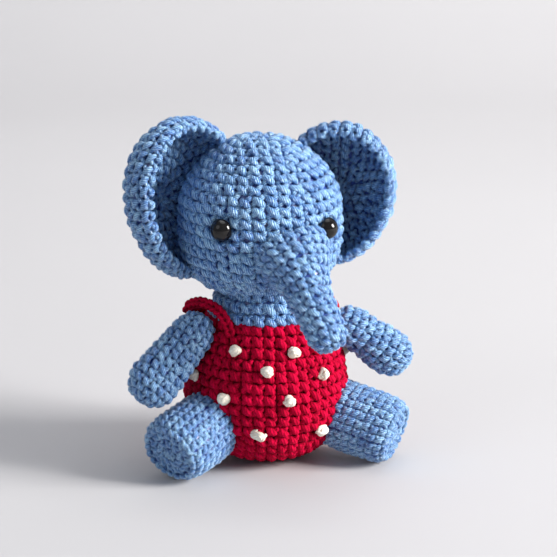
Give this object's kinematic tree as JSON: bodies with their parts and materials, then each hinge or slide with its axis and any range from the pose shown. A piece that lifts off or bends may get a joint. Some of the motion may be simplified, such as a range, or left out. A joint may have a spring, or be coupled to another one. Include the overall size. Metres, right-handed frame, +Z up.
{
  "type": "stuffed elephant",
  "caption": "Sitting crocheted stuffed elephant in a dotted red romper, with a round head, cupped ears, a long trunk and splayed legs, all sewn on so that they flex.",
  "frame": {"origin": "centre of the flat under the body, on the surface the elephant sits on", "axes": "+Z up, the elephant faces -Y, +X towards its own left side"},
  "size_m": [0.1067, 0.103, 0.1256],
  "materials": {
    "blue_yarn": "crocheted mercerised cotton-blend yarn, soft sheen",
    "red_yarn": "crocheted matt acrylic yarn, slightly fuzzy",
    "white_yarn": "matt yarn, knotted",
    "fibre_fill": "loose polyester fibre",
    "eye_plastic": "polished moulded plastic",
    "washer_plastic": "plain moulded plastic"
  },
  "bodies": {
    "torso": {"body_lower": "red_yarn", "body_upper": "blue_yarn", "body_stuffing": "fibre_fill", "strap_left": "red_yarn", "strap_right": "red_yarn", "knots": "white_yarn"},
    "neck": {"neck_seam": "blue_yarn"},
    "head": {"head_shell": "blue_yarn", "head_stuffing": "fibre_fill", "eye_left": "eye_plastic", "eye_right": "eye_plastic", "eye_washer_left": "washer_plastic", "eye_washer_right": "washer_plastic"},
    "trunk": {"trunk": "blue_yarn", "trunk_stuffing": "fibre_fill"},
    "ear_left": {"ear_left": "blue_yarn"},
    "ear_right": {"ear_right": "blue_yarn"},
    "arm_left": {"arm_left": "blue_yarn", "arm_stuffing_left": "fibre_fill"},
    "arm_right": {"arm_right": "blue_yarn", "arm_stuffing_right": "fibre_fill"},
    "leg_left": {"leg_left": "blue_yarn", "leg_stuffing_left": "fibre_fill"},
    "leg_right": {"leg_right": "blue_yarn", "leg_stuffing_right": "fibre_fill"},
    "tail": {"tail": "blue_yarn"}
  },
  "joints": [
    {"name": "neck_turn", "type": "hinge", "parent": "torso", "child": "neck", "pos_m": [-0.0025, 0.001, 0.062], "axis": [0, 0, 1], "range_deg": [-20, 20], "stiffness_Nm_per_rad": 0.12},
    {"name": "neck_nod", "type": "hinge", "parent": "neck", "child": "head", "pos_m": [-0.0025, 0.001, 0.062], "axis": [1, 0, 0], "range_deg": [-8, 8], "stiffness_Nm_per_rad": 0.3},
    {"name": "trunk_lift", "type": "hinge", "parent": "head", "child": "trunk", "pos_m": [0.0015, -0.0265, 0.0825], "axis": [1, 0, 0], "range_deg": [-12, 8], "stiffness_Nm_per_rad": 0.04},
    {"name": "ear_fold_left", "type": "hinge", "parent": "head", "child": "ear_left", "pos_m": [0.0195, 0.012, 0.094], "axis": [0, 0, 1], "range_deg": [-6, 14], "stiffness_Nm_per_rad": 0.03},
    {"name": "ear_fold_right", "type": "hinge", "parent": "head", "child": "ear_right", "pos_m": [-0.0245, 0.012, 0.094], "axis": [0, 0, 1], "range_deg": [-12, 6], "stiffness_Nm_per_rad": 0.03},
    {"name": "arm_swing_left", "type": "hinge", "parent": "torso", "child": "arm_left", "pos_m": [0.0266, -0.006, 0.0505], "axis": [0, 1, 0], "range_deg": [-30, 6], "stiffness_Nm_per_rad": 0.06},
    {"name": "arm_swing_right", "type": "hinge", "parent": "torso", "child": "arm_right", "pos_m": [-0.0266, -0.0065, 0.053], "axis": [0, 1, 0], "range_deg": [-3, 30], "stiffness_Nm_per_rad": 0.06},
    {"name": "leg_spread_left", "type": "hinge", "parent": "torso", "child": "leg_left", "pos_m": [0.02085, -0.0077, 0.0177], "axis": [0, 0, 1], "range_deg": [-12, 6], "stiffness_Nm_per_rad": 0.05},
    {"name": "leg_spread_right", "type": "hinge", "parent": "torso", "child": "leg_right", "pos_m": [-0.02085, -0.0077, 0.0177], "axis": [0, 0, 1], "range_deg": [-6, 12], "stiffness_Nm_per_rad": 0.05},
    {"name": "tail_wag", "type": "hinge", "parent": "torso", "child": "tail", "pos_m": [0, 0.0296, 0.0205], "axis": [0, 0, 1], "range_deg": [-25, 25], "stiffness_Nm_per_rad": 0.01}
  ]
}
